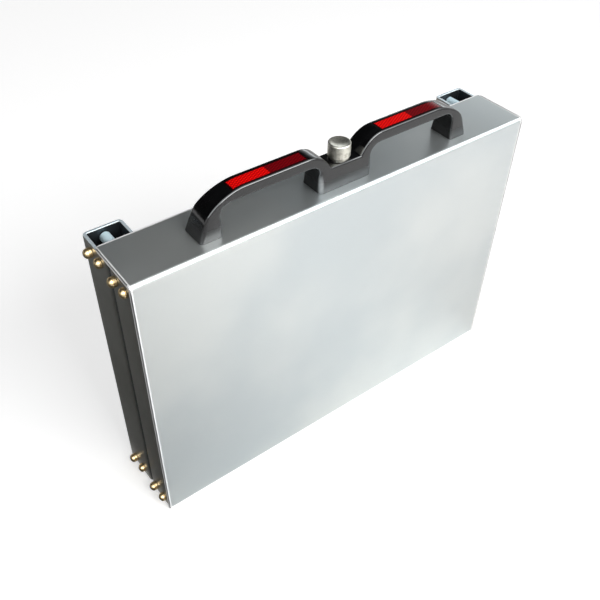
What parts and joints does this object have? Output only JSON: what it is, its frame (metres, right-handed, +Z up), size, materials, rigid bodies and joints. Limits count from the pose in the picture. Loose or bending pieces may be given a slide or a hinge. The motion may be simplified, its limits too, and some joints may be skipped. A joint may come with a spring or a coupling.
{
  "type": "battery box",
  "caption": "Flat aluminium battery case with tube columns at its ends, brass dome screws, a black carrying handle with red reflector strips and a turning lock knob.",
  "frame": {"origin": "middle of the footprint, on the surface that the box stands on", "axes": "+X along the width, to the right seen from the front; +Y from the front panel to the rear columns; +Z up"},
  "size_m": [0.4116, 0.0798, 0.314],
  "materials": {
    "sheet": "satin anodised",
    "column": "satin anodised",
    "brass": "polished",
    "tie_bar": "satin",
    "rubber": "matt",
    "handle": "satin gloss",
    "reflector_left": "glossy, clear red",
    "reflector_right": "glossy, dark red",
    "nickel": "satin nickel",
    "steel": "zinc plated",
    "pouch": "laminated foil",
    "frame": "moulded",
    "foam": "closed cell foam",
    "board": "lacquered",
    "socket": "moulded",
    "positive_lead": "flexible sleeve",
    "negative_lead": "flexible sleeve"
  },
  "bodies": {
    "case": {"back_panel": "sheet", "bottom_tray": "sheet", "cell_frame": "frame", "cell_module_lower_left": "pouch", "cell_module_lower_right": "pouch", "cell_module_upper_left": "pouch", "cell_module_upper_right": "pouch", "charge_socket": "socket", "deck_pad_left": "rubber", "deck_pad_right": "rubber", "dome_screw_left_front_lower_long": "brass", "dome_screw_left_front_lower_short": "brass", "dome_screw_left_front_upper_long": "brass", "dome_screw_left_front_upper_short": "brass", "dome_screw_left_rear_lower_long": "brass", "dome_screw_left_rear_lower_short": "brass", "dome_screw_left_rear_upper_long": "brass", "dome_screw_left_rear_upper_short": "brass", "dome_screw_right_front_lower_long": "brass", "dome_screw_right_front_lower_short": "brass", "dome_screw_right_front_upper_long": "brass", "dome_screw_right_front_upper_short": "brass", "dome_screw_right_rear_lower_long": "brass", "dome_screw_right_rear_lower_short": "brass", "dome_screw_right_rear_upper_long": "brass", "dome_screw_right_rear_upper_short": "brass", "foam_front": "foam", "foam_rear": "foam", "foot_front_left": "rubber", "foot_front_right": "rubber", "foot_rear_left": "rubber", "foot_rear_right": "rubber", "front_column_left": "column", "front_column_right": "column", "front_shell": "sheet", "fuse_holder": "socket", "handle": "handle", "handle_screw_left_foot": "steel", "handle_screw_left_middle": "steel", "handle_screw_right_foot": "steel", "handle_screw_right_middle": "steel", "heat_sink": "steel", "lock_barrel": "nickel", "lock_nut": "steel", "lower_tie_bar_left": "tie_bar", "lower_tie_bar_right": "tie_bar", "negative_lead": "negative_lead", "positive_lead": "positive_lead", "power_socket": "socket", "protection_board": "board", "rear_column_left": "column", "rear_column_right": "column", "reflector_left": "reflector_left", "reflector_right": "reflector_right", "upper_tie_bar_left": "tie_bar", "upper_tie_bar_right": "tie_bar"},
    "lock": {"lock_knob": "nickel", "lock_spindle": "steel", "lock_cam": "steel", "cam_nut": "steel"}
  },
  "joints": [
    {"name": "lock_turn", "type": "hinge", "parent": "case", "child": "lock", "pos_m": [0, -0.0177, 0.2988], "axis": [0, 0, -1], "range_deg": [0, 90]}
  ]
}
